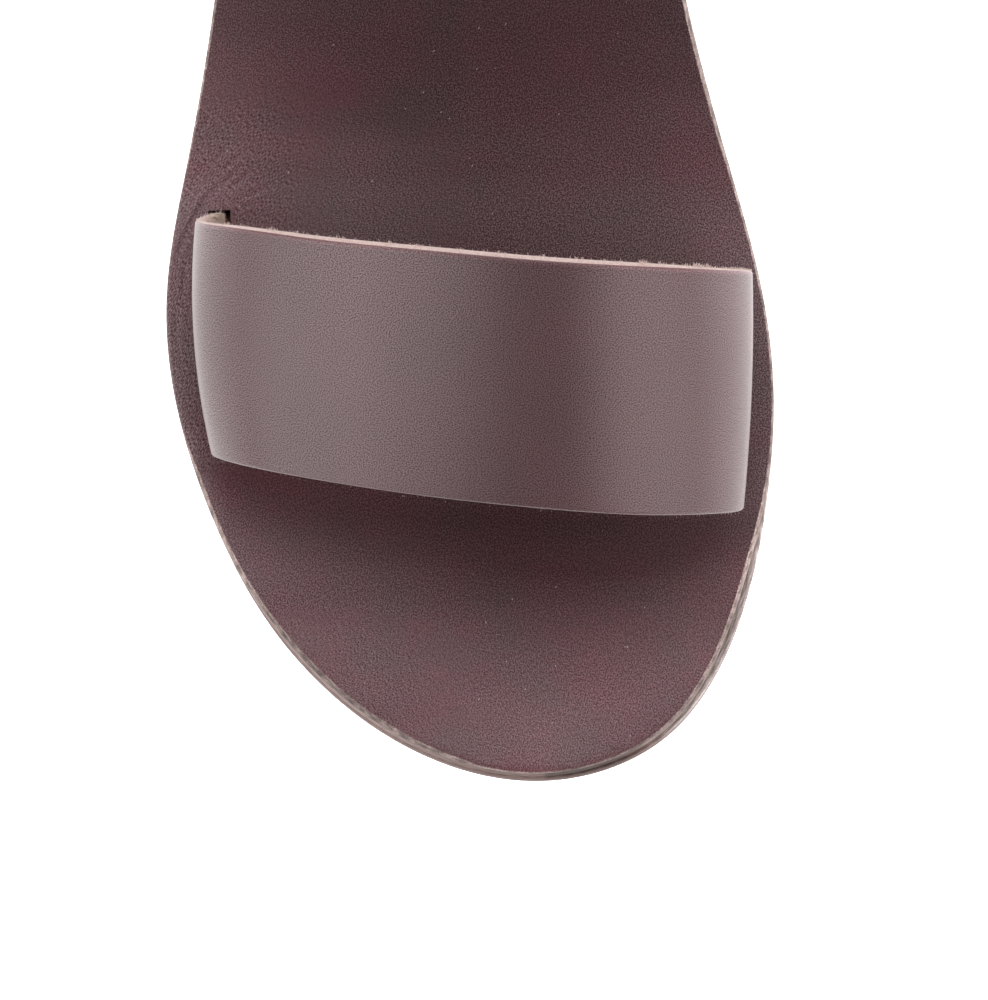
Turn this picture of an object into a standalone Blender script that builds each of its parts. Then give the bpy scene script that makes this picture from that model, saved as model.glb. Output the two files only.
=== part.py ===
"""Greek sandal for the right foot: a two-layer leather sole and one wide leather band.

Frame: metres, +Z up. The toe points to -Y, the heel to +Y, and the big toe's side
(medial) is +X. The origin is on the floor under the middle of the bounding box.
Sizes below are in millimetres, and so are the meshes until add_object() scales them.
"""

import math

import bmesh
import bpy
import numpy as np
from mathutils import Matrix, Vector

MM = 0.001                  # one millimetre in metres

# ---- driving sizes, mm ------------------------------------------------------------------
INSOLE_THICKNESS = 3.2
OUTSOLE_THICKNESS = 4.0
LIFT_THICKNESS = 5.7
STRAP_THICKNESS = 1.8
SKIVED_THICKNESS = 1.2      # the strap's ends, thinned to lie under the insole
GAP = 0.3                   # between pieces that touch on the real sandal

TOE_BREAK = -84.0           # the sole bends up from here
TOE_BENT = -104.0           # and runs straight on to the toe
TOE_ANGLE = 11.0            # slope of the sole at the toe, degrees
ARCH_START = -40.0          # the sole leaves the floor behind the ball
HEEL_SEAT = 56.0            # and is level again from here to the heel
HEEL_RISE = LIFT_THICKNESS + GAP
HEEL_BREAST = 64.0          # front face of the heel lift
HEEL_INSET = 0.6            # the lift stands back from the outsole's edge

INSOLE_EDGE = 0.45          # bevel on the sanded rim
OUTSOLE_EDGE = 0.4
STRAP_EDGE = 0.2
LIFT_EDGE = 0.5

ROW_SPACING = 6.0           # between the sole's bends
ROW_MERGE = 0.45            # a corner this near a bend is taken as on it
OUTLINE_SPACING = 3.0       # between the outline's corners
OUTLINE_STEPS = 24          # curve samples between two rows of the outline's table
STRAP_COLUMNS = 6           # loft columns across the band
STRAP_STEPS = 4             # loft rows between two rows of the band's table

# Footbed outline, heel to toe. "ledge" is how far the outsole shows past the footbed
# on the medial side; on the lateral side the two layers are cut flush.
FOOTPRINT = (
    # y,      lateral,  medial,  ledge
    (118.0,   -20.5,    15.5,    0.0),
    (104.0,   -30.0,    24.6,    0.0),
    (84.0,    -33.4,    27.9,    0.0),
    (58.0,    -33.6,    27.0,    0.0),
    (32.0,    -33.9,    26.0,    0.0),
    (10.0,    -35.4,    28.2,    0.0),
    (-9.6,    -37.7,    31.8,    0.1),
    (-33.2,   -41.7,    38.0,    0.1),
    (-54.0,   -44.9,    43.4,    0.1),
    (-68.8,   -43.6,    44.9,    0.1),
    (-83.0,   -39.4,    43.7,    0.4),
    (-95.0,   -33.9,    40.8,    1.05),
    (-107.0,  -25.2,    36.5,    0.85),
    (-117.0,  -13.5,    29.5,    0.5),
)
HEEL_TIP = (-2.5, 125.0)
TOE_TIP = (11.5, -124.3)
TOE_LEDGE = 0.15

# The band's middle surface over the foot, from the lateral to the medial slit: the same
# line of leather at the band's rear edge and at its front edge. "belly" is how far the
# band's middle stands out sideways from the straight line between its two edges.
BAND = (
    # rear x,  y,     z,       front x,  y,     z,      belly
    (-39.1,  -41.9,  19.0,    -36.9,  -77.2,  14.0,    -1.4),
    (-33.6,  -44.1,  32.8,    -31.6,  -78.9,  24.0,    -0.9),
    (-21.5,  -46.0,  41.4,    -20.5,  -81.0,  29.6,    -0.3),
    (-6.0,   -47.7,  46.6,    -5.5,   -83.2,  32.6,     0.0),
    (10.0,   -49.2,  48.6,    9.5,    -84.8,  33.6,     0.0),
    (24.5,   -50.0,  45.8,    23.5,   -85.8,  31.6,     0.0),
    (35.2,   -50.3,  37.0,    34.0,   -85.8,  25.6,     0.3),
    (40.1,   -50.1,  20.0,    39.1,   -85.1,  14.0,     0.5),
)
# Where the band's middle surface enters the insole: rear end and front end of each slit.
LATERAL_SLIT = ((-37.1, -41.2), (-35.2, -77.0))
MEDIAL_SLIT = ((37.1, -49.4), (36.4, -84.4))
SLIT_HEIGHT = OUTSOLE_THICKNESS + GAP + 1.6
FOLD_RADIUS = 1.5           # of the band's middle surface where it turns under
TURNED_LENGTH = 14.0        # flat part of the band under the insole
SLIT_OPEN = 1.2             # free width of the slit on the band's inner side
SLIT_CLEAR = 0.35           # at the ends of slit and bed
SLIT_LEAN = 0.62            # on the outer side, where the band leans out
SLIT_CORNER = 0.8           # radius of the slits' and beds' corners
CUT_PAST = 1.0              # how far a cutter stands past the face it cuts


# ---- small helpers ----------------------------------------------------------------------
def smooth_step(t):
    t = min(max(t, 0.0), 1.0)
    return t * t * (3.0 - 2.0 * t)


def smooth_curve(points, steps, closed):
    """Cubic curve with even curvature through the points, `steps` samples a span."""
    p = np.asarray(points, float)
    n = len(p)
    spans = n if closed else n - 1
    chord = np.array([p[(i + 1) % n] - p[i] for i in range(spans)])
    h = np.linalg.norm(chord, axis=1)
    slope = chord / h[:, None]
    matrix = np.zeros((n, n))
    right = np.zeros_like(p)
    for i in range(n):
        if closed or 0 < i < n - 1:
            before, after = (i - 1) % n, (i + 1) % n
            matrix[i, before] += h[i]
            matrix[i, i] += 2.0 * (h[before] + h[i])
            matrix[i, after] += h[before]
            right[i] = 3.0 * (h[i] * slope[before] + h[before] * slope[i])
        else:
            matrix[i, i] = 2.0
            matrix[i, 1 if i == 0 else n - 2] = 1.0
            right[i] = 3.0 * slope[0 if i == 0 else spans - 1]
    tangent = np.linalg.solve(matrix, right)
    samples = []
    for i in range(spans):
        j = (i + 1) % n
        for t in np.arange(steps) / steps:
            samples.append((1 + 2 * t) * (1 - t) ** 2 * p[i] + t * t * (3 - 2 * t) * p[j]
                           + h[i] * (t * (1 - t) ** 2 * tangent[i] - t * t * (1 - t) * tangent[j]))
    if not closed:
        samples.append(p[-1])
    return np.array(samples)


def evenly_spaced(ring, spacing):
    """The closed ring again, with its corners at even steps along it."""
    loop = np.vstack([ring, ring[:1]])
    run = np.concatenate([[0.0], np.cumsum(np.linalg.norm(np.diff(loop, axis=0), axis=1))])
    places = np.linspace(0.0, run[-1], round(run[-1] / spacing), endpoint=False)
    return np.stack([np.interp(places, run, loop[:, axis]) for axis in (0, 1)], axis=1)


def make_material(name, colour, roughness, metallic=0.0):
    material = bpy.data.materials.new(name)
    material.use_nodes = True
    shader = material.node_tree.nodes["Principled BSDF"]
    shader.inputs["Base Color"].default_value = (*colour, 1.0)
    shader.inputs["Roughness"].default_value = roughness
    shader.inputs["Metallic"].default_value = metallic
    return material


def add_object(name, bm, collection, material=None):
    """New object from a bmesh in millimetres, its faces turned outward if it is closed."""
    bmesh.ops.recalc_face_normals(bm, faces=bm.faces[:])
    bmesh.ops.scale(bm, vec=(MM, MM, MM), verts=bm.verts[:])
    mesh = bpy.data.meshes.new(name)
    bm.to_mesh(mesh)
    bm.free()
    obj = bpy.data.objects.new(name, mesh)
    collection.objects.link(obj)
    if material is not None:
        mesh.materials.append(material)
    return obj


# ---- the last's plan and side lines -----------------------------------------------------
def outline(ledge):
    """Closed outline as (x, y); ledge 0 is the footbed, 1 the outsole."""
    ring = [(*TOE_TIP, TOE_LEDGE)]
    ring += [(medial, y, out) for y, lateral, medial, out in reversed(FOOTPRINT)]
    ring += [(*HEEL_TIP, 0.0)]
    ring += [(lateral, y, 0.0) for y, lateral, medial, out in FOOTPRINT]
    curve = smooth_curve(ring, OUTLINE_STEPS, closed=True)
    plan = curve[:, :2]
    along = np.roll(plan, -1, axis=0) - np.roll(plan, 1, axis=0)
    outward = np.stack([along[:, 1], -along[:, 0]], axis=1)
    outward /= np.linalg.norm(outward, axis=1)[:, None]
    return evenly_spaced(plan + outward * curve[:, 2:3] * ledge, OUTLINE_SPACING)


def bed_height(y):
    """Height of the outsole's upper face: level under the ball, up at toe and heel."""
    bend = TOE_BREAK - TOE_BENT
    run = max(0.0, TOE_BREAK - y)
    bent = min(run, bend)
    spring = math.tan(math.radians(TOE_ANGLE)) * (bent ** 2 / (2.0 * bend) + run - bent)
    rise = HEEL_RISE * smooth_step((y - ARCH_START) / (HEEL_SEAT - ARCH_START))
    return OUTSOLE_THICKNESS + spring + rise


def bed_point(x, y, above):
    """Point at (x, y) on the outsole's upper face, then `above` it, square to its slope."""
    tilt = math.atan2(bed_height(y + 0.5) - bed_height(y - 0.5), 1.0)
    return Vector((x, y - above * math.sin(tilt), bed_height(y) + above * math.cos(tilt)))


# ---- sole pieces ------------------------------------------------------------------------
def flat_slab(ring, low, high):
    """Upright slab over a closed outline."""
    bm = bmesh.new()
    bottom = bm.faces.new([bm.verts.new((x, y, low)) for x, y in ring])
    grown = bmesh.ops.extrude_face_region(bm, geom=[bottom], use_keep_orig=True)["geom"]
    top = [item for item in grown if isinstance(item, bmesh.types.BMVert)]
    bmesh.ops.translate(bm, verts=top, vec=(0.0, 0.0, high - low))
    return bm


def bevel_rim(bm, height, width):
    """Bevel the slab's edge that lies at this height."""
    rim = [edge for edge in bm.edges
           if all(abs(vert.co.z - height) < 0.001 for vert in edge.verts)]
    bmesh.ops.bevel(bm, geom=rim, offset=width, offset_type="OFFSET", segments=1, profile=0.5,
                    affect="EDGES", clamp_overlap=True, material=-1)


def bend_to_foot(bm):
    """Cut the flat slab across in rows and bend it to the line of the bed."""
    front = min(vert.co.y for vert in bm.verts)
    back = max(vert.co.y for vert in bm.verts)
    for y in np.arange(ROW_SPACING * math.ceil(front / ROW_SPACING), back, ROW_SPACING):
        bmesh.ops.bisect_plane(bm, geom=bm.verts[:] + bm.edges[:] + bm.faces[:], dist=ROW_MERGE,
                               plane_co=(0.0, y, 0.0), plane_no=(0.0, 1.0, 0.0))
    for vert in bm.verts:
        vert.co = bed_point(*vert.co)


def make_insole(collection, material):
    top = GAP + INSOLE_THICKNESS
    bm = flat_slab(outline(0.0), GAP, top)
    bevel_rim(bm, top, INSOLE_EDGE)
    bend_to_foot(bm)
    return add_object("insole", bm, collection, material)


def make_outsole(collection, material):
    bm = flat_slab(outline(1.0), -OUTSOLE_THICKNESS, 0.0)
    bevel_rim(bm, -OUTSOLE_THICKNESS, OUTSOLE_EDGE)
    bend_to_foot(bm)
    return add_object("outsole", bm, collection, material)


def make_heel_lift(collection, material):
    """The outsole's plan behind the breast, set in a little and standing on the floor."""
    bm = bmesh.new()
    bm.faces.new([bm.verts.new((x, y, 0.0)) for x, y in outline(1.0)])
    bmesh.ops.bisect_plane(bm, geom=bm.verts[:] + bm.edges[:] + bm.faces[:], dist=ROW_MERGE,
                           plane_co=(0.0, HEEL_BREAST, 0.0), plane_no=(0.0, 1.0, 0.0),
                           clear_inner=True)
    seat = bm.faces[:]
    rim = bmesh.ops.inset_region(bm, faces=seat, thickness=HEEL_INSET)["faces"]
    bmesh.ops.delete(bm, geom=rim, context="FACES")
    corners = [vert.co.xy.copy() for vert in bm.faces[:][0].verts]
    bm.free()
    bm = flat_slab(corners, 0.0, LIFT_THICKNESS)
    bevel_rim(bm, 0.0, LIFT_EDGE)
    return add_object("heel_lift", bm, collection, material)


# ---- the band ---------------------------------------------------------------------------
def slit_frame(slit, side):
    """Rear point, front point and the level direction towards the foot's middle."""
    rear, front = np.array(slit[0]), np.array(slit[1])
    run = (front - rear) / np.linalg.norm(front - rear)
    inward = np.array([run[1], -run[0]]) * side
    return rear, front, inward


def turned_end(slit, side):
    """Rows of the band from the slit down, round the fold and inward under the insole."""
    rear, front, inward = slit_frame(slit, side)
    bed_middle = OUTSOLE_THICKNESS - SKIVED_THICKNESS / 2.0
    steps = [(0.0, SLIT_HEIGHT)]
    for degrees in (0.0, 30.0, 60.0, 90.0):
        turn = math.radians(degrees)
        steps.append((FOLD_RADIUS * (1.0 - math.cos(turn)),
                      bed_middle + FOLD_RADIUS * (1.0 - math.sin(turn))))
    for part in (0.1, 0.3, 0.6, 1.0):
        steps.append((FOLD_RADIUS + TURNED_LENGTH * part, bed_middle))
    rows = []
    for distance, height in steps:
        rear_point, front_point = rear + inward * distance, front + inward * distance
        rows.append([*rear_point, height, *front_point, height, 0.0])
    return rows


def thicken_band(strap):
    """Full thickness over the foot, skived thin below the slits; cut edges eased."""
    full = strap.vertex_groups.new(name="full_thickness")
    for vert in strap.data.vertices:
        above_fold = vert.co.z / MM - SLIT_HEIGHT + 1.0
        full.add([vert.index], smooth_step(above_fold / 2.0), "REPLACE")
    thickness = strap.modifiers.new("thickness", "SOLIDIFY")
    thickness.thickness = STRAP_THICKNESS * MM
    thickness.offset = 0.0
    thickness.use_even_offset = True
    thickness.vertex_group = full.name
    thickness.thickness_vertex_group = SKIVED_THICKNESS / STRAP_THICKNESS
    edge = strap.modifiers.new("edge", "BEVEL")
    edge.width = STRAP_EDGE * MM
    edge.segments = 1
    edge.limit_method = "ANGLE"
    edge.angle_limit = math.radians(50.0)


def make_strap(collection, material):
    lateral_end = turned_end(LATERAL_SLIT, -1.0)
    medial_end = turned_end(MEDIAL_SLIT, 1.0)
    curve = smooth_curve(lateral_end[::-1] + list(BAND) + medial_end, STRAP_STEPS, closed=False)
    bm = bmesh.new()
    bmesh.ops.create_grid(bm, x_segments=len(curve) - 1, y_segments=STRAP_COLUMNS, size=1.0)
    for vert in bm.verts:
        row = curve[round((0.5 + 0.5 * vert.co.x) * (len(curve) - 1))]
        forward = 0.5 - 0.5 * vert.co.y
        point = row[:3] + (row[3:6] - row[:3]) * forward
        point[0] += row[6] * 4.0 * forward * (1.0 - forward)
        vert.co = Vector(point)
    strap = add_object("strap", bm, collection, material)
    thicken_band(strap)
    return strap


# ---- slits and beds ---------------------------------------------------------------------
def make_slot_cutter(name, collection, slit, side, inside, bottom, top):
    """Upright box along a slit, reaching `inside` of the band's middle surface."""
    rear, front, inward = slit_frame(slit, side)
    outside = STRAP_THICKNESS / 2.0 + SLIT_LEAN
    length = np.linalg.norm(front - rear) + 2.0 * SLIT_CLEAR
    middle = (rear + front + inward * (inside - outside)) / 2.0
    place = Matrix.Translation((*middle, (bottom + top) / 2.0))
    turn = Matrix.Rotation(math.atan2(inward[1], inward[0]), 4, "Z")
    size = Matrix.Diagonal((inside + outside, length, top - bottom, 1.0))
    bm = bmesh.new()
    bmesh.ops.create_cube(bm, size=1.0, matrix=place @ turn @ size)
    upright = [edge for edge in bm.edges
               if abs(edge.verts[0].co.z - edge.verts[1].co.z) > 0.001]
    bmesh.ops.bevel(bm, geom=upright, offset=SLIT_CORNER, offset_type="OFFSET", segments=3,
                    profile=0.5, affect="EDGES", clamp_overlap=True, material=-1)
    cutter = add_object(name, bm, collection)
    cutter.hide_render = True
    cutter.display_type = "WIRE"
    return cutter


def cut_out(obj, cutter):
    modifier = obj.modifiers.new("cut_" + cutter.name, "BOOLEAN")
    modifier.operation = "DIFFERENCE"
    modifier.object = cutter


def cut_slits_and_beds(insole, outsole, cutters):
    """A slit through the insole and a shallow bed in the outsole for each strap end."""
    sole_top = OUTSOLE_THICKNESS + GAP + INSOLE_THICKNESS
    bed_floor = OUTSOLE_THICKNESS - SKIVED_THICKNESS - GAP
    for place, slit, side in (("lateral", LATERAL_SLIT, -1.0), ("medial", MEDIAL_SLIT, 1.0)):
        through = make_slot_cutter(place + "_slit", cutters, slit, side,
                                   STRAP_THICKNESS / 2.0 + SLIT_OPEN,
                                   OUTSOLE_THICKNESS, sole_top + CUT_PAST)
        bed = make_slot_cutter(place + "_bed", cutters, slit, side,
                               FOLD_RADIUS + TURNED_LENGTH + SLIT_CLEAR,
                               bed_floor, OUTSOLE_THICKNESS + CUT_PAST)
        cut_out(insole, through)
        cut_out(outsole, bed)


# ---- assembly ---------------------------------------------------------------------------
def shift_to_origin(pieces):
    """The move that stands the bounding box on the origin, centred."""
    bpy.context.view_layer.update()
    graph = bpy.context.evaluated_depsgraph_get()
    corners = []
    for piece in pieces:
        mesh = piece.evaluated_get(graph).to_mesh()
        points = np.array([vert.co for vert in mesh.vertices])
        corners += [points.min(axis=0), points.max(axis=0)]
    low, high = np.min(corners, axis=0), np.max(corners, axis=0)
    return Vector((-(low[0] + high[0]) / 2.0, -(low[1] + high[1]) / 2.0, -low[2]))


def build():
    for obj in list(bpy.data.objects):
        bpy.data.objects.remove(obj)
    parts = bpy.data.collections.new("greek_sandal")
    cutters = bpy.data.collections.new("cutters")
    bpy.context.scene.collection.children.link(parts)
    bpy.context.scene.collection.children.link(cutters)

    insole = make_insole(parts, make_material("burgundy_brown_leather", (0.115, 0.060, 0.063), 0.55))
    outsole = make_outsole(parts, make_material("dark_sole_leather", (0.150, 0.100, 0.080), 0.65))
    strap = make_strap(parts, make_material("smooth_strap_leather", (0.190, 0.135, 0.135), 0.42))
    lift = make_heel_lift(parts, make_material("dark_heel_rubber", (0.030, 0.024, 0.022), 0.80))
    cut_slits_and_beds(insole, outsole, cutters)

    pieces = [insole, outsole, strap, lift]
    shift = shift_to_origin(pieces)
    for obj in pieces + list(cutters.objects):
        obj.location = shift
    for piece in pieces:
        piece.data.shade_smooth()
        piece.data.set_sharp_from_angle(angle=math.radians(35.0))


build()
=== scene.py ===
# %% [markdown]
# # A leather Greek sandal, dressed in its leathers
#
# The real object is a slip-on sandal for the right foot. A maker cuts a footbed and an
# outsole from thick leather, cuts one slit on each side of the footbed, pushes the two
# ends of a wide band down through the slits, thins them and glues them flat between the
# layers. A low lift goes under the heel and the rims are sanded.
#
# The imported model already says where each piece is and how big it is, so this script
# makes the same pieces again with the detail that a camera sees: fine rims, grain,
# creases, raw fibres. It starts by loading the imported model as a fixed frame.

import math

import bmesh
import bpy
import numpy as np
from mathutils import Matrix, Vector


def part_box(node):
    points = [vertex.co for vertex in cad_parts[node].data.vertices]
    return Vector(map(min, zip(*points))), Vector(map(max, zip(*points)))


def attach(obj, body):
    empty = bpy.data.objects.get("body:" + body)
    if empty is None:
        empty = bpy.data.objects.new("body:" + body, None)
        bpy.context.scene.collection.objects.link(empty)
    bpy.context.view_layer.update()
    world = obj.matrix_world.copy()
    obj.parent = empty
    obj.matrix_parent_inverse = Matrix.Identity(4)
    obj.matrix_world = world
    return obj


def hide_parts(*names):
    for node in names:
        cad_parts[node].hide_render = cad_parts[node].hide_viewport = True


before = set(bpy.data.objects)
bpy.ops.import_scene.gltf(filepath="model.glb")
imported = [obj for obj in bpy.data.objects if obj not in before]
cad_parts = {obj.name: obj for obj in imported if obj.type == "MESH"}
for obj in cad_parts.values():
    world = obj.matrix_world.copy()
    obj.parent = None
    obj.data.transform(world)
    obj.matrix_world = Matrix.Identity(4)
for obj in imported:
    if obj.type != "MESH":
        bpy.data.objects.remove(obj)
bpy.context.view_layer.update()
MM = 0.001
nodes_box = {name: [[round(v / MM, 2) for v in corner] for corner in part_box(name)]
             for name in ("insole", "outsole", "strap", "heel_lift")}
print("CAD nodes, mm:", nodes_box)

# %% [markdown]
# ## Colour and node helpers
#
# Hex colours are written for a screen, in sRGB. Shaders count light, so they need linear
# values: one function turns the first into the second. Another small function adds a
# node, sets its properties and fills its sockets, so that each finish below reads as a
# list of what it is made of. Sockets are filled in order where the order is plain: the
# terms of a sum, the share and two ends of a mix, a value with its old and new range, a
# noise's place, scale, detail and roughness. The last two functions make what several
# finishes need: a colour with its shades, and a fine stipple.

# %% Helpers for materials
def linear(code):
    """Linear RGBA from an sRGB hex code such as "6e5559"."""
    values = [int(code[i:i + 2], 16) / 255.0 for i in (0, 2, 4)]
    return (*[v / 12.92 if v <= 0.04045 else ((v + 0.055) / 1.055) ** 2.4 for v in values], 1.0)


def fill(tree, target, sockets):
    """Give a node's sockets their values or links, by name in a dict or else in order."""
    shown = [socket for socket in target.inputs if socket.enabled]
    if isinstance(sockets, dict):
        named = {socket.name: socket for socket in shown}
        shown, sockets = [named[name] for name in sockets], sockets.values()
    for socket, value in zip(shown, sockets):
        if isinstance(value, bpy.types.NodeSocket):
            tree.links.new(value, socket)
        else:
            socket.default_value = value


def node(tree, kind, sockets=(), output=None, stops=(), **settings):
    """New shader node. `settings` are its properties, `sockets` fill its inputs, `stops` are
    a colour ramp's places and hex colours. Gives back one output, the first if not named."""
    new = tree.nodes.new("ShaderNode" + kind)
    for name, value in settings.items():
        setattr(new, name, value)
    fill(tree, new, sockets)
    for element, (place, code) in zip(new.color_ramp.elements if stops else (), stops):
        element.position, element.color = place, linear(code)
    shown = [item for item in new.outputs if item.enabled]
    return shown[0] if output is None else next(item for item in shown if item.name == output)


def new_finish(name):
    """A material with its tree, its shader and the piece's own coordinates."""
    material = bpy.data.materials.new(name)
    material.use_nodes = True
    tree = material.node_tree
    shader = tree.nodes["Principled BSDF"]
    place = node(tree, "TexCoord", output="Object")
    return material, tree, shader, place


# %% Shades and stipple
def shaded(tree, colour, *shades):
    """The colour, made lighter or darker by each of these numbers in turn."""
    for shade in shades:
        colour = node(tree, "Mix", (1.0, colour, shade), data_type="RGBA",
                      blend_type="MULTIPLY")
    return colour


def stipple(tree, plan, size, spread, stretch=(1.0, 1.0), turn=29.0):
    """Fine stipple from 0 to 1 on a plan in metres, harder with a smaller spread. It can be
    drawn out into strings; flat noise keeps its marks to one size, where a slice through
    solid noise would show large ones too."""
    laid = node(tree, "Mapping", {"Vector": plan, "Scale": (*stretch, 1.0),
                                  "Rotation": (0.0, 0.0, math.radians(turn))},
                vector_type="TEXTURE")
    dots = node(tree, "TexNoise", (laid, 1.0 / size, 0.0), noise_dimensions="2D")
    return node(tree, "MapRange", (dots, 0.5 - spread / 2.0, 0.5 + spread / 2.0))


# %% [markdown]
# ## The last's two lines
#
# Every sandal starts from a last: a plan line, drawn round the foot, and a side line,
# which says how the sole lifts at the heel and at the toe. The tables are those that the
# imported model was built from, give or take a tenth of a millimetre, with the heel at +Y,
# the toe at -Y and the big toe's side at +X. A smooth curve goes through them, sampled more
# finely here.

# %% Sizes of the sole, mm
INSOLE_THICKNESS = 3.2
OUTSOLE_THICKNESS = 4.0
LIFT_THICKNESS = 5.7
GLUE_GAP = 0.3              # what the model leaves between two glued pieces
GLUE_LINE = 0.04            # what shows of it on the real sandal
TOE_BREAK, TOE_BENT = -84.0, -104.0     # y where the toe starts to lift, and is straight
TOE_ANGLE = 11.0
ARCH_START, HEEL_SEAT = -40.0, 56.0     # y where the arch starts to rise, and is level
HEEL_RISE = LIFT_THICKNESS + GLUE_GAP
HEEL_BREAST, HEEL_INSET = 64.0, 0.6     # y of the lift's front, and its step under the rim
OUTLINE_SPACING = 0.9       # between the outline's corners
OUTLINE_STEPS = 60          # samples between two points of a table

FOOTPRINT = (
    # y,     lateral, medial, ledge
    (118.0,  -20.5,   15.5,   0.0),
    (104.0,  -30.0,   24.6,   0.0),
    (84.0,   -33.4,   27.9,   0.0),
    (58.0,   -33.6,   27.0,   0.0),
    (32.0,   -33.9,   26.0,   0.0),
    (10.0,   -35.4,   28.2,   0.1),
    (-9.6,   -37.7,   31.8,   0.2),
    (-33.2,  -41.7,   38.0,   0.18),
    (-54.0,  -44.9,   43.4,   0.16),
    (-68.8,  -43.6,   44.9,   0.14),
    (-83.0,  -39.4,   43.7,   0.4),
    (-95.0,  -33.9,   40.8,   1.05),
    (-107.0, -25.2,   36.5,   0.85),
    (-117.0, -13.5,   29.5,   0.5),
)
HEEL_TIP = (-2.5, 125.0)
TOE_TIP = (11.5, -124.3)
TOE_LEDGE, LATERAL_LEDGE = 0.15, 0.06


# %% Curves through a table
def smooth_step(t):
    """From 0 to 1, with a soft start and end."""
    t = np.clip(t, 0.0, 1.0)
    return t * t * (3.0 - 2.0 * t)


def smooth_curve(points, steps, closed):
    """Cubic curve with even curvature through the points, `steps` samples a span."""
    p = np.asarray(points, float)
    n = len(p)
    spans = n if closed else n - 1
    chord = np.array([p[(i + 1) % n] - p[i] for i in range(spans)])
    h = np.linalg.norm(chord, axis=1)
    slope = chord / h[:, None]
    matrix = np.zeros((n, n))
    right = np.zeros_like(p)
    for i in range(n):
        if closed or 0 < i < n - 1:
            before, after = (i - 1) % n, (i + 1) % n
            matrix[i, before] += h[i]
            matrix[i, i] += 2.0 * (h[before] + h[i])
            matrix[i, after] += h[before]
            right[i] = 3.0 * (h[i] * slope[before] + h[before] * slope[i])
        else:
            matrix[i, i] = 2.0
            matrix[i, 1 if i == 0 else n - 2] = 1.0
            right[i] = 3.0 * slope[0 if i == 0 else spans - 1]
    tangent = np.linalg.solve(matrix, right)
    samples = []
    for i in range(spans):
        j = (i + 1) % n
        for t in np.arange(steps) / steps:
            samples.append((1 + 2 * t) * (1 - t) ** 2 * p[i] + t * t * (3 - 2 * t) * p[j]
                           + h[i] * (t * (1 - t) ** 2 * tangent[i] - t * t * (1 - t) * tangent[j]))
    if not closed:
        samples.append(p[-1])
    return np.array(samples)


def evenly_spaced(line, spacing):
    """The line again, with its points at even steps along it."""
    run = np.concatenate([[0.0], np.cumsum(np.linalg.norm(np.diff(line[:, :3], axis=0), axis=1))])
    places = np.linspace(0.0, run[-1], round(run[-1] / spacing) + 1)
    return np.stack([np.interp(places, run, column) for column in line.T], axis=1)


def outline(ledge):
    """Closed plan line as (x, y); ledge 0 is the footbed, 1 the outsole."""
    ring = [(*TOE_TIP, TOE_LEDGE)]
    ring += [(medial, y, out) for y, lateral, medial, out in reversed(FOOTPRINT)]
    ring += [(*HEEL_TIP, 0.0)]
    ring += [(lateral, y, LATERAL_LEDGE) for y, lateral, medial, out in FOOTPRINT]
    curve = smooth_curve(ring, OUTLINE_STEPS, closed=True)
    plan = curve[:, :2]
    along = np.roll(plan, -1, axis=0) - np.roll(plan, 1, axis=0)
    outward = np.stack([along[:, 1], -along[:, 0]], axis=1)
    outward /= np.linalg.norm(outward, axis=1)[:, None]
    plan = plan + outward * curve[:, 2:3] * ledge
    return evenly_spaced(np.vstack([plan, plan[:1]]), OUTLINE_SPACING)[:-1]


print("outline:", len(outline(0.0)), "corners")


# %% The side line
def bed_height(y):
    """Height of the outsole's upper face: level under the ball, up at toe and heel."""
    bend = TOE_BREAK - TOE_BENT
    run = np.maximum(0.0, TOE_BREAK - y)
    bent = np.minimum(run, bend)
    spring = math.tan(math.radians(TOE_ANGLE)) * (bent ** 2 / (2.0 * bend) + run - bent)
    rise = HEEL_RISE * smooth_step((y - ARCH_START) / (HEEL_SEAT - ARCH_START))
    return OUTSOLE_THICKNESS + spring + rise


def bed_point(x, y, above):
    """Point at (x, y) on the outsole's upper face, then `above` it, square to its slope."""
    rise = bed_height(y + 0.5) - bed_height(y - 0.5)    # over 1 mm
    tilt = math.atan2(rise, 1.0)
    return Vector((x, y - above * math.sin(tilt), bed_height(y) + above * math.cos(tilt)))


print("bed height at toe, ball and heel, mm:",
      [round(float(bed_height(y)), 2) for y in (-124.0, -60.0, 90.0)])

# %% [markdown]
# ## Camera, floor and light
#
# The shoe is seen from straight above the ball of the foot by a long lens, so its rims
# hardly lean. The floor is white paper. Leather is dark, and what it shows is mostly the
# lamps it mirrors: two wide softboxes low at the sides make the flanks of the band light,
# the empty space in front and above leaves its crown dark, and a third box, high beyond
# the heel, is what the raised toe mirrors.

# %% Camera
BALL = Vector((0.00355, -0.0836, 0.0))      # the ball of the foot, metres
CAMERA_HEIGHT = 1.05
CAMERA_LENS, CAMERA_SENSOR = 254.2, 36.0    # mm

camera_data = bpy.data.cameras.new("camera")
camera_data.lens = CAMERA_LENS
camera_data.sensor_width = CAMERA_SENSOR
camera_data.clip_start, camera_data.clip_end = 0.05, 20.0
camera = bpy.data.objects.new("camera", camera_data)
camera.location = BALL + Vector((0.0, 0.0, CAMERA_HEIGHT))
bpy.context.scene.collection.objects.link(camera)
bpy.context.scene.camera = camera
bpy.context.scene.view_settings.view_transform = "Standard"
print("width in view, mm:", round(CAMERA_HEIGHT / MM * CAMERA_SENSOR / CAMERA_LENS, 1))

# %% Floor
FLOOR_SIZE, FLOOR_DROP = 3.0, 0.00005       # from its middle, and below the sole, metres
PAPER_FIBRE = 1.0 / 900.0                   # across one patch of its fibres, metres
PAPER_GLOW = 1.2                            # lit paper comes out pure white


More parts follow.
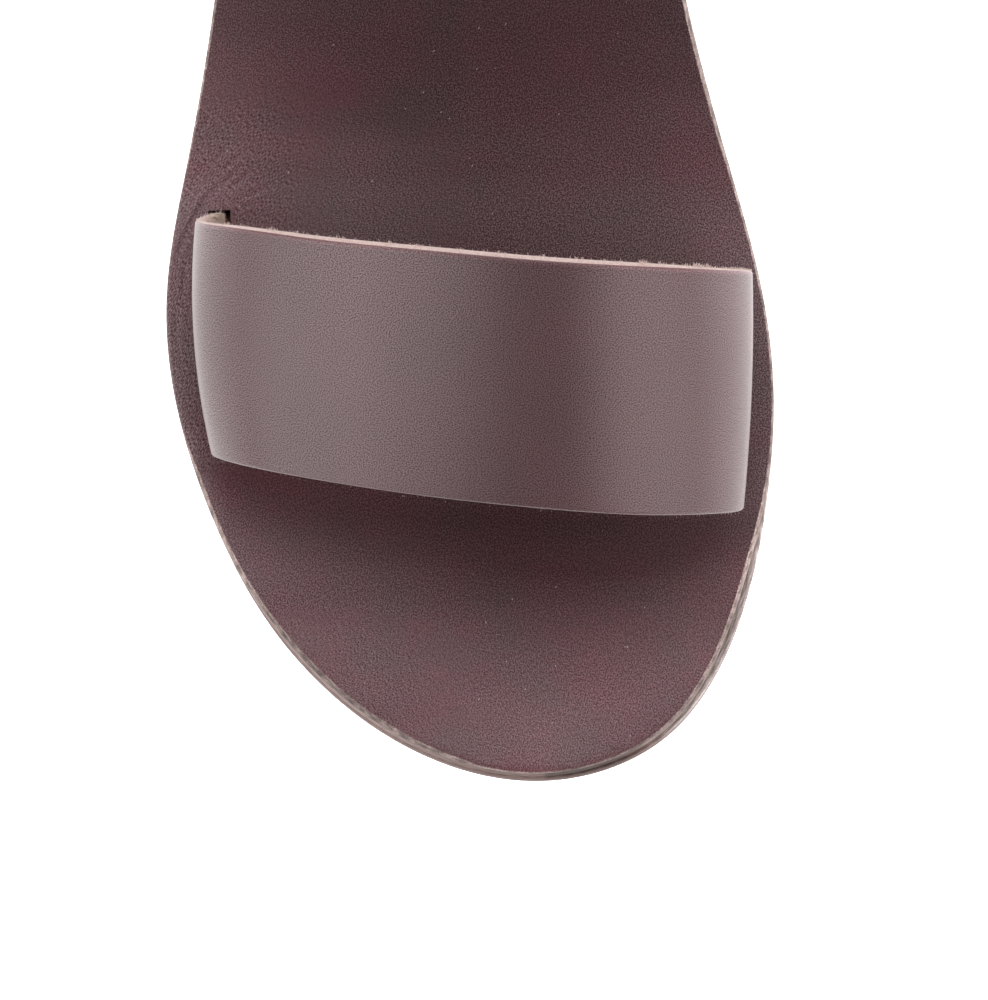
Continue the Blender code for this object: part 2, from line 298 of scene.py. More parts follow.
def add_piece(name, bm, finishes, millimetres=True):
    """Object from a bmesh, at the origin, with its finishes in material-index order."""
    if millimetres:
        bmesh.ops.scale(bm, vec=(MM, MM, MM), verts=bm.verts[:])
    mesh = bpy.data.meshes.new(name)
    bm.to_mesh(mesh)
    bm.free()
    mesh.shade_smooth()
    for finish in finishes:
        mesh.materials.append(finish)
    piece = bpy.data.objects.new(name, mesh)
    bpy.context.scene.collection.objects.link(piece)
    return piece


def white_paper():
    """Uncoated white paper: matt, with a faint cloud of fibres."""
    material, tree, shader, place = new_finish("white_paper")
    fibre = node(tree, "TexNoise", (place, 1.0 / PAPER_FIBRE, 3.0))
    tone = node(tree, "Mix", (fibre, linear("f4f4f4"), linear("fafafa")), data_type="RGBA")
    fill(tree, shader, {"Base Color": tone, "Roughness": 0.9, "Specular IOR Level": 0.1,
                        "Emission Color": linear("ffffff"), "Emission Strength": PAPER_GLOW})
    return material


bm = bmesh.new()
bmesh.ops.create_grid(bm, x_segments=2, y_segments=2, size=FLOOR_SIZE)
bmesh.ops.translate(bm, verts=bm.verts[:], vec=(0.0, 0.0, -FLOOR_DROP))
floor = add_piece("paper_floor", bm, [white_paper()], millimetres=False)


# %% Lamps
def softbox(name, place, width, height, strength):
    """Rectangular lamp aimed at the ball of the foot; strength is its radiance."""
    lamp = bpy.data.lights.new(name, "AREA")
    lamp.shape = "RECTANGLE"
    lamp.size, lamp.size_y = width, height
    lamp.energy = strength * math.pi * width * height
    box = bpy.data.objects.new(name, lamp)
    box.location = place
    box.rotation_mode = "QUATERNION"
    box.rotation_quaternion = (BALL - Vector(place)).to_track_quat("-Z", "Y")
    box.visible_camera = False
    bpy.context.scene.collection.objects.link(box)
    print(name, [round(v, 2) for v in place], "m,", round(lamp.energy, 1), "W")


def around(turn, rise, distance):
    """Place seen from the ball of the foot: `turn` degrees from straight ahead of the toe,
    to the big toe's side, and `rise` degrees up."""
    turn, rise = math.radians(turn), math.radians(rise)
    return BALL + distance * Vector((math.sin(turn) * math.cos(rise),
                                     -math.cos(turn) * math.cos(rise), math.sin(rise)))


# turn, rise and distance; width, height and strength
softbox("left_softbox", around(-59.0, 31.0, 1.3), 1.42, 1.1, 3.0)
softbox("right_softbox", around(58.5, 31.5, 1.3), 1.4, 1.2, 2.2)
softbox("rear_softbox", around(180.0, 54.0, 1.5), 2.1, 0.9, 3.0)
world = bpy.data.worlds.new("studio")
world.use_nodes = True
# a little light from all sides, so that no shade is black
fill(world.node_tree, world.node_tree.nodes["Background"],
     {"Color": linear("ffffff"), "Strength": 0.1})
bpy.context.scene.world = world

# %% [markdown]
# ## Footbed leather
#
# The footbed is vegetable-tanned cowhide, drum-dyed a burgundy brown, with its natural
# grain left on. Tanning shrinks the skin into pebbles about 0.6 mm across with fine
# valleys between them. Behind the band, where the leather is bent and pulled, the
# pebbles stretch into slanting strings. A Voronoi pattern gives the pebbles, a stipple
# drawn out along the pull the strings, and a mask blends them. Dye lies unevenly, so broad
# noise shifts the brown towards red. At the rim the grain is sanded off, and the pale,
# hairy inside of the hide shows: the mesh carries each corner's distance from the rim.

# %% Sizes of the footbed's patterns, in metres
PEBBLE = 0.0005             # across one pebble, as the Voronoi pattern counts
WANDER = 1.0 / 700.0        # between two bends of a valley
FOOTBED_PORE = 0.0002       # real pores are half as wide, too fine to show
STRING = 0.00018            # across one string, drawn coarser for the same reason
DYE_DRIFT = 0.014           # across a browner or a redder patch
HIDE_SWELL = 0.009          # across a swell of the hide's own unevenness
RIM_HAIR = 0.0003           # across a clump of fibre; single ones are too fine to show
RIM_STREAK = 0.00022        # across a streak of clumps that lie along a sanded rim
PORE_CURVE = 1.35           # above 1 it gives narrow lights on a wider dark ground


# %% Footbed finish
def footbed_leather():
    """Drum-dyed cowhide with its natural grain, sanded bare at the rim."""
    material, tree, shader, place = new_finish("pebbled_burgundy_cowhide")

    # what the mesh carries: painted light and shade in the dye, the finish's sheen, the rim's place
    # and wear
    dye_and_painted_light, sheen, from_edge, rubbed = [
        node(tree, "Attribute", output="Fac", attribute_name=name)
        for name in ("dye_and_painted_light", "sheen", "from_edge", "rubbed")]

    # where on the footbed, from 0 to 1, eased between two places in metres
    x, y = [node(tree, "SeparateXYZ", {"Vector": place}, axis) for axis in "XY"]
    lateral, inward, beside, near_band, behind, toe = [
        node(tree, "MapRange", (value, start, end), interpolation_type="SMOOTHSTEP")
        for value, start, end in ((x, 0.016, -0.026), (x, -0.032, -0.016), (y, -0.042, -0.050),
                                  (y, -0.012, -0.036), (y, -0.088, -0.070),
                                  (y, -0.096, -0.106))]
    pull = node(tree, "Math", (near_band, behind), operation="MULTIPLY")
    pulled = node(tree, "Math", (pull, lateral), operation="MULTIPLY")
    toe_side = node(tree, "Math", (toe, lateral), operation="MULTIPLY")
    toe_middle = node(tree, "Math", (toe, toe_side), operation="SUBTRACT")

    # pebbles; their valleys wander: the pattern is looked up a little off its place
    wander = node(tree, "TexNoise", (place, 1.0 / WANDER, 1.0), "Color")
    centred = node(tree, "VectorMath", (wander, (0.5, 0.5, 0.5)), operation="SUBTRACT")
    off = node(tree, "VectorMath", (centred, PEBBLE), operation="SCALE")
    moved = node(tree, "VectorMath", (place, off), operation="ADD")
    pebbles = node(tree, "TexVoronoi", {"Vector": moved, "Scale": 1.0 / PEBBLE,
                                        "Smoothness": 0.5}, feature="SMOOTH_F1")

    # strings, turned to the pull and drawn out along it: upright beside the band and along
    # the toe's lateral side, slanting behind the band's corner and more level further in
    upright, slanting, level = [stipple(tree, place, STRING, 0.5, (drawn, 0.8), turn)
                                for drawn, turn in ((2.4, 57.0), (2.3, 47.0), (1.5, 30.0))]
    outer = node(tree, "Mix", (beside, slanting, upright))
    strings = node(tree, "Mix", (inward, outer, level))
    grain = node(tree, "Mix", (pulled, pebbles, strings))

    # pores and hair cells, finer than the pebbles, deepest where the hide is bent and
    # strung out where it is pulled or at the toe's lateral side
    either = node(tree, "Math", (pulled, toe_side), operation="MAXIMUM")
    strung = node(tree, "MapRange", (either, 0.2, 0.7), interpolation_type="SMOOTHSTEP")
    even = stipple(tree, place, FOOTBED_PORE, 0.5, (1.15, 0.95), 75.0)
    cells = node(tree, "Mix", (strung, even, strings))
    bent = node(tree, "MapRange", (pull, 0.0, 1.0, 0.52, 0.88))
    deep = node(tree, "Math", (pulled, 0.2, bent), operation="MULTIPLY_ADD")
    # the middle of the toe has a calmer glint
    keen = node(tree, "Math", (toe_middle, -0.18, 1.0), operation="MULTIPLY_ADD")
    flat, calm = [node(tree, "Mix", (depth, 0.5, cells)) for depth in (deep, keen)]
    pore, lights = [node(tree, "Math", (value, PORE_CURVE), operation="POWER")
                    for value in (flat, calm)]

    # dye: brown, drifting to red, deeper in the valleys
    drift = node(tree, "TexNoise", (place, 1.0 / DYE_DRIFT, 3.0, 0.6))
    dye = node(tree, "ValToRGB", {"Fac": drift}, stops=((0.35, "402b2d"), (0.65, "48292e")))
    valleys = node(tree, "MapRange", (grain, 0.1, 0.75, 1.06, 0.86))
    speckle = node(tree, "MapRange", (pore, 0.0, 1.0, 0.52, 1.68))
    # the dye times the painted light and shade that the mesh carries
    toned = shaded(tree, dye, valleys, speckle, dye_and_painted_light)
    # painted sheen: above a sheen of 1 a pale grey is painted into the colour, most on the tops of
    # the grain
    sheen_surplus = node(tree, "MapRange", (sheen, 1.0, 3.0, 0.0, 0.24))
    painted_sheen_tops = node(tree, "MapRange", (pore, 0.0, 1.0, 0.19, 0.74))
    painted_sheen = node(tree, "Math", (sheen_surplus, painted_sheen_tops), operation="MULTIPLY")
    painted_sheen_colour = node(tree, "Mix", (painted_sheen, toned, linear("a89fa1")), data_type="RGBA")

    # sanded rim: pale fibre along the rim, palest on the arris, with a ragged border
    hairs = node(tree, "TexNoise", (place, 1.0 / RIM_HAIR, 3.0, 0.7))
    ragged = node(tree, "Math", (hairs, -0.35, from_edge), operation="MULTIPLY_ADD")
    sanded = node(tree, "MapRange", (ragged, 0.42, 0.24), interpolation_type="SMOOTHSTEP")
    arris = node(tree, "MapRange", (from_edge, 0.15, 0.5, 1.0, 1.35))
    along = node(tree, "Attribute", output="Vector", attribute_name="along_rim")
    streaks = stipple(tree, along, RIM_STREAK, 0.5, (7.0, 0.9), 3.0)
    streaked = node(tree, "MapRange", (streaks, 0.0, 1.0, 0.62, 1.34))
    fibre = node(tree, "ValToRGB", {"Fac": hairs}, stops=((0.3, "6c5d59"), (0.72, "998985")))
    rim = shaded(tree, fibre, rubbed, arris, streaked)
    colour = node(tree, "Mix", (sanded, painted_sheen_colour, rim), data_type="RGBA")

    # more sheen than smooth leather widens it too, and a pore swallows the light its rim mirrors
    smooth = node(tree, "MapRange", (pore, 0.0, 1.0, 0.3, 0.42))
    gloss = node(tree, "Math", (sheen_surplus, 0.6, smooth), operation="MULTIPLY_ADD")
    rough = node(tree, "Mix", (sanded, gloss, 0.85))
    glint = node(tree, "MapRange", (lights, 0.0, 1.0, 0.1, 1.0))
    held = node(tree, "Math", (sheen, 1.0), operation="MINIMUM")
    mirrored = node(tree, "Math", (glint, held), operation="MULTIPLY")
    gleam = node(tree, "Mix", (sanded, mirrored, 0.12))

    # relief: the hide's own slow unevenness, pores, and strings higher than pebbles
    slow = node(tree, "TexNoise", (place, 1.0 / HIDE_SWELL, 2.0))
    broad = node(tree, "Bump", {"Height": slow, "Strength": 0.3, "Distance": 0.0004})
    fine = node(tree, "Bump", {"Height": pore, "Strength": 1.0, "Distance": 0.00001,
                               "Normal": broad})
    relief = node(tree, "MapRange", (pulled, 0.0, 1.0, 0.15, 0.42))
    high = node(tree, "Bump", {"Height": grain, "Strength": relief, "Distance": 0.00009,
                               "Normal": fine}, invert=True)
    fill(tree, shader, {"Base Color": colour, "Roughness": rough, "IOR": 1.5,
                        "Specular IOR Level": gleam, "Normal": high})
    return material


footbed = footbed_leather()
print("footbed finish:", len(footbed.node_tree.nodes), "nodes")

# %% [markdown]
# ## Sole leather and its rims
#
# The outsole is bend leather: thicker, firmer, rolled smooth and dyed brown. Where a
# sheet of leather is cut, its fibres show in thin layers that lie along the sheet. The
# maker sands such a rim, wipes it with dye and burnishes it, which leaves it grey brown
# with lighter hairs. The layers here are a stipple drawn out along the rim.

# %% Rim and sole finishes
DRESSED_HAIR = 0.0002       # across a clump of dressed fibre, in metres
SOLE_CLOUD = 0.011          # across a lighter or a darker patch of the sole
SOLE_PORE = 0.00035         # its pores, drawn coarser than real ones


def dressed_rim():
    """Sanded, dyed and burnished rim of a sheet of leather."""
    material, tree, shader, place = new_finish("sanded_leather_rim")
    along = node(tree, "Attribute", output="Vector", attribute_name="along_rim")
    layers = stipple(tree, along, 1.2 * RIM_STREAK, 0.55, (7.0, 1.0), 0.0)
    hairs = node(tree, "TexNoise", (place, 1.0 / DRESSED_HAIR, 2.0))
    # worn rims have gone grey, the others are still brown
    dye_and_painted_light = node(tree, "Attribute", output="Fac", attribute_name="dye_and_painted_light")
    worn = node(tree, "MapRange", (dye_and_painted_light, 0.8, 1.6))
    brown = node(tree, "ValToRGB", {"Fac": layers}, stops=((0.0, "62504a"), (1.0, "8d726e")))
    grey = node(tree, "ValToRGB", {"Fac": layers}, stops=((0.0, "675c59"), (1.0, "908582")))
    tone = node(tree, "Mix", (worn, brown, grey), data_type="RGBA")
    light = node(tree, "MapRange", (hairs, 0.3, 0.7, 0.8, 1.2))
    # lighter on the outer arris, darker down the wall and in on the ledge: partly the dressing
    # rubbed off the arris, partly painted shade where the footbed's shadow falls on the ledge
    inward = node(tree, "SeparateXYZ", {"Vector": along}, "Y")
    edge = node(tree, "MapRange", (inward, -0.0009, -0.0002, 0.85, 1.3))
    gleam = node(tree, "MapRange", (dye_and_painted_light, 0.7, 1.5, 0.05, 0.3))
    coarse = node(tree, "Bump", {"Height": layers, "Strength": 0.6, "Distance": 0.0001})
    fine = node(tree, "Bump", {"Height": hairs, "Strength": 0.6, "Distance": 0.00006,
                               "Normal": coarse})
    fill(tree, shader, {"Base Color": shaded(tree, tone, light, edge, dye_and_painted_light), "Roughness": 0.7,
                        "Specular IOR Level": gleam, "Normal": fine})
    return material


def bend_leather():
    """Firm sole leather, rolled smooth, with fine pores."""
    material, tree, shader, place = new_finish("rolled_brown_bend_leather")
    cloud = node(tree, "TexNoise", (place, 1.0 / SOLE_CLOUD, 4.0, 0.6))
    pores = node(tree, "TexNoise", (place, 1.0 / SOLE_PORE, 3.0))
    tone = node(tree, "ValToRGB", {"Fac": cloud}, stops=((0.3, "4a3630"), (0.7, "5f483f")))
    grit = node(tree, "MapRange", (pores, 0.3, 0.7, 0.85, 1.15))
    rough = node(tree, "MapRange", (cloud, 0.0, 1.0, 0.45, 0.62))
    relief = node(tree, "Bump", {"Height": pores, "Strength": 0.6, "Distance": 0.00005})
    fill(tree, shader, {"Base Color": shaded(tree, tone, grit), "Roughness": rough,
                        "Normal": relief})
    return material


rim_finish = dressed_rim()
sole_finish = bend_leather()
print("rim and sole finishes:", rim_finish.name, sole_finish.name)

# %% [markdown]
# ## Footbed
#
# The footbed is cut flat and then bent, and so is this mesh: an upright slab over the
# plan line, its rims bevelled, the two slits cut through it, the whole thing sliced
# across in rows so that it can bend, and each corner moved to the line of the last. The
# upper face is also sliced lengthwise, finely at the lateral side, where the leather is
# creased: each crease is a soft trough between two low ridges.

# %% Slits, mm
LATERAL_SLIT = ((-37.1, -41.2), (-35.2, -77.0))
MEDIAL_SLIT = ((37.1, -49.4), (36.4, -84.4))
SLITS = ((LATERAL_SLIT, -1.0), (MEDIAL_SLIT, 1.0))
STRAP_THICKNESS = 1.8
SKIVED_THICKNESS = 1.2      # of the band's ends, under the footbed
FOLD_RADIUS = 1.5
TURNED_LENGTH = 14.0
SLIT_CLEAR = 0.35           # free length at each end of a slit
SLIT_INSIDE = STRAP_THICKNESS / 2.0 + 0.8       # from the band's middle to the inner wall
SLIT_OUTSIDE = STRAP_THICKNESS / 2.0 + 0.62     # to the outer one, where the band leans out


def slit_frame(slit, side):
    """Rear point, front point and the level direction towards the foot's middle."""
    rear, front = np.array(slit[0]), np.array(slit[1])
    run = (front - rear) / np.linalg.norm(front - rear)
    inward = np.array([run[1], -run[0]]) * side
    return rear, front, inward


print("slit lengths, mm:", [round(math.dist(*slit), 1) for slit, side in SLITS])

# %% Slab helpers
SAME = 0.001                # two corners closer than this lie at the same place, mm
EDGE_BLOCK = 2000           # corners measured against the outline at a time


def flat_slab(ring, low, high):
    """Upright slab over a closed outline."""
    bm = bmesh.new()
    bottom = bm.faces.new([bm.verts.new((x, y, low)) for x, y in ring])
    grown = bmesh.ops.extrude_face_region(bm, geom=[bottom], use_keep_orig=True)["geom"]
    top = [item for item in grown if isinstance(item, bmesh.types.BMVert)]
    bmesh.ops.translate(bm, verts=top, vec=(0.0, 0.0, high - low))
    bmesh.ops.recalc_face_normals(bm, faces=bm.faces[:])
    return bm


def level(items, height):
    """Those of the edges or faces that lie level at this height."""
    return [item for item in items
            if all(abs(vert.co.z - height) < SAME for vert in item.verts)]


def bevel_rim(bm, height, width, segments):
    """Round the slab's edge that lies at this height."""
    bmesh.ops.bevel(bm, geom=level(bm.edges, height), offset=width, offset_type="OFFSET",
                    segments=segments, profile=0.5, affect="EDGES", clamp_overlap=True,
                    material=-1)


def cut_plane(bm, faces, point, normal):
    """Cut only these faces along a plane, and give back what they have become."""
    edges = {edge for face in faces for edge in face.edges}
    verts = {vert for face in faces for vert in face.verts}
    found = bmesh.ops.bisect_plane(bm, geom=[*verts, *edges, *faces], dist=SAME,
                                   plane_co=(*point, 0.0), plane_no=(*normal, 0.0))
    return [item for item in found["geom"] if isinstance(item, bmesh.types.BMFace)]


def slot_faces(bm, height, slit, side, inside, outside):
    """Mark out the slit's rectangle on the slab's face at this height."""
    rear, front, inward = slit_frame(slit, side)
    run = (front - rear) / np.linalg.norm(front - rear)
    faces = level(bm.faces, height)
    lines = ((rear - run * SLIT_CLEAR, run), (front + run * SLIT_CLEAR, run),
             (rear + inward * inside, inward), (rear - inward * outside, inward))
    for point, normal in lines:
        faces = cut_plane(bm, faces, point, normal)
    centre = (rear + front + inward * (inside - outside)) / 2.0
    return [face for face in faces
            if np.linalg.norm(np.array(face.calc_center_median()[:2]) - centre) < 0.5]


def slice_rows(bm, axis, places, faces=None):
    """Slice the mesh, or only these faces, square to an axis at each place."""
    normal = (1.0, 0.0) if axis == 0 else (0.0, 1.0)
    for place in places:
        if faces is None:
            cut_plane(bm, bm.faces[:], (place, place), normal)
        else:
            faces = cut_plane(bm, faces, (place, place), normal)
    return faces


def nearest_rim(ring, points):
    """Each plan point's distance from a closed line and its place along it, counted both
    ways from the toe, mm."""
    start, step = ring, np.roll(ring, -1, axis=0) - ring
    length = np.linalg.norm(step, axis=1)
    run = np.concatenate([[0.0], np.cumsum(length)])
    distance, place = [], []
    for block in np.array_split(points, max(1, len(points) // EDGE_BLOCK)):
        gap = block[:, None, :] - start[None]
        t = np.clip((gap * step[None]).sum(axis=2) / length[None] ** 2, 0.0, 1.0)
        far = np.linalg.norm(gap - t[..., None] * step[None], axis=2)
        near = far.argmin(axis=1)
        rows = np.arange(len(block))
        distance.append(far[rows, near])
        place.append(run[near] + t[rows, near] * length[near])
    place = np.concatenate(place)
    return np.concatenate(distance), np.where(place > run[-1] / 2.0, place - run[-1], place)


# %% Creases beside the lateral slit, mm
CREASES = (
    # x,    y,     length, turn, depth, width
    (-41.6, -44.0, 9.0,    62.0, 0.20,  0.42),
    (-40.2, -41.2, 9.5,    57.0, 0.22,  0.42),
    (-38.6, -38.6, 8.5,    52.0, 0.20,  0.38),
    (-36.6, -37.2, 8.0,    46.0, 0.17,  0.38),
    (-34.2, -36.6, 7.0,    40.0, 0.13,  0.38),
    (-42.9, -46.6, 7.0,    74.0, 0.18,  0.36),
    (-42.2, -51.0, 7.0,    84.0, 0.15,  0.36),
    (-43.3, -57.5, 7.5,    88.0, 0.11,  0.40),
    (-39.4, -34.4, 7.0,    55.0, 0.14,  0.36),
    (-37.0, -32.6, 6.5,    50.0, 0.10,  0.38),
    (-39.2, -28.0, 6.0,    58.0, 0.09,  0.36),
    (-31.5, -38.2, 6.0,    30.0, 0.10,  0.38),
    (-41.3, -38.0, 5.0,    60.0, 0.15,  0.34),
    (-35.0, -33.6, 5.5,    44.0, 0.10,  0.34),
    (-33.0, -40.2, 4.0,    22.0, 0.08,  0.34),
)
RIDGE_HEIGHT, RIDGE_PLACE = 0.45, 2.0       # in depths, and in widths from the trough


def crease_height(x, y):
    """What the listed creases add to the footbed's height at (x, y)."""
    height = 0.0
    for cx, cy, length, turn, depth, width in CREASES:
        c, s = math.cos(math.radians(turn)), math.sin(math.radians(turn))
        along = ((x - cx) * c + (y - cy) * s) / (length / 2.0)
        across = ((y - cy) * c - (x - cx) * s) / width
        fade = np.clip(1.0 - along ** 2, 0.0, 1.0) ** 2
        ridges = np.exp(-(abs(across) - RIDGE_PLACE) ** 2)
        height = height - depth * fade * (np.exp(-across ** 2) - RIDGE_HEIGHT * ridges)
    return height


print("deepest crease, mm:", max(crease[4] for crease in CREASES))

# %% Wear of the rims
SANDED = (
    # y,     lateral, medial: width of the pale sanded rim, mm
    (-124.0, 0.35,    0.15),
    (-119.0, 0.62,    0.25),
    (-112.0, 0.66,    0.50),
    (-104.0, 0.60,    0.52),
    (-92.0,  0.66,    0.62),
    (-80.0,  0.58,    0.38),
    (-73.0,  0.04,    0.32),  # beside the band the grain wraps over the rim
    (-38.0,  0.02,    0.34),
    (-30.0,  0.25,    0.50),
    (0.0,    0.42,    0.52),
    (125.0,  0.50,    0.50),
)
RUBBED = (
    # y,     lateral, medial: how pale the bare fibre of the footbed's rim is
    (-124.0, 0.85,    0.60),
    (-119.0, 0.85,    0.75),
    (-113.0, 0.80,    1.0),
    (-104.0, 0.85,    1.35),
    (-92.0,  1.5,     2.0),
    (-80.0,  1.25,    1.4),
    (-60.0,  1.05,    1.4),
    (-30.0,  1.15,    1.5),
    (125.0,  1.15,    1.5),
)
RIM_FADING = (
    # y,     lateral, medial: how pale the top of a dressed rim is
    (-125.0, 0.5,     0.26),
    (-122.0, 0.6,     0.32),
    (-119.0, 0.7,     1.1),
    (-113.0, 0.75,    2.1),
    (-104.0, 0.75,    1.7),
    (-92.0,  1.0,     2.5),
    (-80.0,  1.0,     2.3),
    (-60.0,  1.0,     1.6),
    (125.0,  1.0,     1.2),
)


def table_value(table, y, column):
    """Value in one column of a table at this y."""
    return float(np.interp(y, [row[0] for row in table], [row[column] for row in table]))


print("widest sanded rim, mm:", max(max(row[1:]) for row in SANDED))

# %% Painted light, shade and sheen of the upper face
PAINTED_LIGHT = (
    # y,     lateral, middle, medial: painted light and shade, times the dye; 1 as the dye is
    (-124.0, 2.05,    2.6,    1.95),
    (-119.0, 1.85,    2.4,    1.62),
    (-116.0, 1.68,    2.25,   1.55),
    (-113.0, 1.78,    1.94,   1.9),
    (-108.0, 1.98,    1.6,    2.4),
    (-103.0, 1.93,    1.62,   2.32),
    (-99.0,  1.72,    1.12,   2.35),
    (-95.0,  1.9,     0.96,   2.25),
    (-91.0,  1.52,    0.87,   1.48),
    (-87.0,  1.6,     0.66,   0.85),
    (-80.0,  1.45,    0.8,    1.7),
    (-60.0,  1.8,     1.15,   1.8),
    (-44.0,  2.0,     1.02,   1.62),
    (-35.0,  2.2,     1.04,   1.66),
    (-32.0,  2.35,    1.04,   1.5),
    (-30.0,  2.15,    1.06,   1.38),
    (-26.0,  2.45,    1.0,    1.26),
    (-21.0,  2.2,     0.96,   0.98),
    (-17.0,  1.8,     0.84,   0.98),
    (-13.0,  1.33,    0.79,   0.77),
    (125.0,  1.33,    0.79,   0.77),
)
SHEEN = (
    # y,     lateral, middle, medial: how much white sheen, 1 as smooth leather has; above 1 a pale sheen is painted into the colour
    (-124.0, 0.92,    1.0,    1.2),
    (-119.0, 0.95,    1.0,    1.3),
    (-116.0, 0.85,    0.9,    1.4),
    (-113.0, 0.97,    0.9,    1.1),
    (-108.0, 0.92,    0.77,   0.8),
    (-103.0, 1.1,     0.5,    0.65),
    (-98.0,  1.7,     0.75,   0.72),
    (-94.0,  2.4,     1.2,    0.85),
    (-90.0,  2.6,     0.9,    1.6),
    (-86.0,  1.75,    0.65,   2.3),
    (-80.0,  0.8,     0.9,    2.6),
    (-60.0,  2.2,     1.0,    3.0),
    (-50.0,  2.6,     1.5,    3.0),
    (-43.0,  3.0,     1.8,    2.4),
    (-38.0,  3.0,     1.8,    1.5),
    (-35.0,  1.8,     1.3,    1.25),
    (-32.0,  1.65,    1.3,    1.15),
    (-29.0,  1.7,     1.1,    1.3),
    (-26.0,  1.35,    0.98,   1.3),
    (-21.0,  1.15,    0.78,   1.15),
    (-13.0,  1.25,    0.83,   1.12),
    (125.0,  1.25,    0.85,   1.1),
)
MIDDLE = ((-124.0, -60.0, 0.0), (11.0, 5.0, 2.0))       # y, x of the sole's middle line
# y, how late the change from the middle to the rim comes: 1 evenly, 3 close to the rim
LATERAL_CURVE = ((-90.0, -80.0, -60.0, -31.0, -27.0), (1.7, 2.0, 1.1, 1.1, 3.0))
MEDIAL_CURVE = ((-90.0, -50.0), (1.9, 1.25))
SHEEN_CURVE = 1.6


def across(table, x, y, rim, curve):
    """Value of a table of lateral, middle and medial columns at a place on the footbed."""
    lateral, middle, medial = (table_value(table, y, column) for column in (1, 2, 3))
    line = float(np.interp(y, *MIDDLE))
    side = lateral if x < line else medial
    out = abs(x - line) / (abs(x - line) + rim + 0.01)      # 0 in the middle, 1 at the rim
    return float(middle + (side - middle) * out ** curve)


def painted_light_at(x, y, rim):
    """Painted light and shade, times the dye here: darkest in the middle and in the
    band's shadow, lightest at the rims and at the toe."""
    return across(PAINTED_LIGHT, x, y, rim, np.interp(y, *(LATERAL_CURVE if x < 0.0 else MEDIAL_CURVE)))


# painted light and shade in the arch, 1 as the dye is
print("dye in the arch, 1 as new:", round(painted_light_at(0.0, 20.0, 30.0), 2))

# %% Footbed mesh, mm
RIM_ROUND = 0.5                         # radius of the rounded upper rim
ROLL_WIDTH, ROLL_DROP = 11.0, 0.4       # the upper face falls away towards the rim
ROLL_FRONT, ROLL_EASE = -100.0, 20.0    # y where it starts to, and over how long
WRAP_WIDTH, WRAP_DROP = 5.0, 0.7        # it falls more where the grain wraps over
WRAP_FRONT, WRAP_REAR, WRAP_EASE = -98.0, -26.0, 14.0
BEND_STEP = 1.5                         # between the cuts that let a slab bend
CREASED_X = (-44.5, -28.0)              # the creased part of the upper face
CREASED_Y = (-62.0, -24.0)
CREASE_STEP = 0.25
SANDED_MARK = 0.5                       # what from_edge says at the sanded rim's border
DRESSED_PALE = (1.35, 1.1)              # of the footbed's dressed rim, lateral and medial
# painted shade: inside a slit the leather is painted nearly black for the shade in it, and made
# dull
SLIT_PAINTED_SHADE, SLIT_SHEEN = 0.1, 0.2         # inside a slit the leather is dark and dull


def rim_fall(x, y, from_rim):
    """How far the upper face has fallen at this distance from the rim."""
    lateral = np.where(x < 0.0, 1.0, 0.0)
    beside = (smooth_step((y - WRAP_FRONT) / WRAP_EASE)
              * smooth_step((WRAP_REAR - y) / WRAP_EASE) * lateral)
    rear = smooth_step((y - ROLL_FRONT) / ROLL_EASE)
    return (ROLL_DROP * rear * np.clip(1.0 - from_rim / ROLL_WIDTH, 0.0, 1.0) ** 2
            + WRAP_DROP * beside * np.clip(1.0 - from_rim / WRAP_WIDTH, 0.0, 1.0) ** 2)


def cut_footbed(ring, low, top):
    """The flat slab with its slits, sliced so that it can bend and crease."""
    bm = flat_slab(ring, low, top)
    bevel_rim(bm, top, RIM_ROUND, 4)
    for slit, side in SLITS:
        upper = slot_faces(bm, top, slit, side, SLIT_INSIDE, SLIT_OUTSIDE)
        lower = slot_faces(bm, low, slit, side, SLIT_INSIDE, SLIT_OUTSIDE)
        loops = [edge for face in upper + lower for edge in face.edges]
        bmesh.ops.delete(bm, geom=upper + lower, context="FACES_ONLY")
        bmesh.ops.bridge_loops(bm, edges=loops)
    slice_rows(bm, 1, np.arange(-123.0, 125.0, BEND_STEP))
    # more cuts on the upper face carry its painted light and shade
    slice_rows(bm, 1, np.arange(-70.5, 0.0, 1.0), level(bm.faces, top))
    slice_rows(bm, 0, np.arange(-44.0, 45.0, 2.0), level(bm.faces, top))
    creased = [face for face in level(bm.faces, top)
               if face.calc_center_median().x < CREASED_X[1]
               and CREASED_Y[0] < face.calc_center_median().y < CREASED_Y[1]]
    creased = slice_rows(bm, 1, np.arange(CREASED_Y[0] + CREASE_STEP, CREASED_Y[1], CREASE_STEP),
                         creased)
    slice_rows(bm, 0, np.arange(*CREASED_X, CREASE_STEP), creased)
    return bm


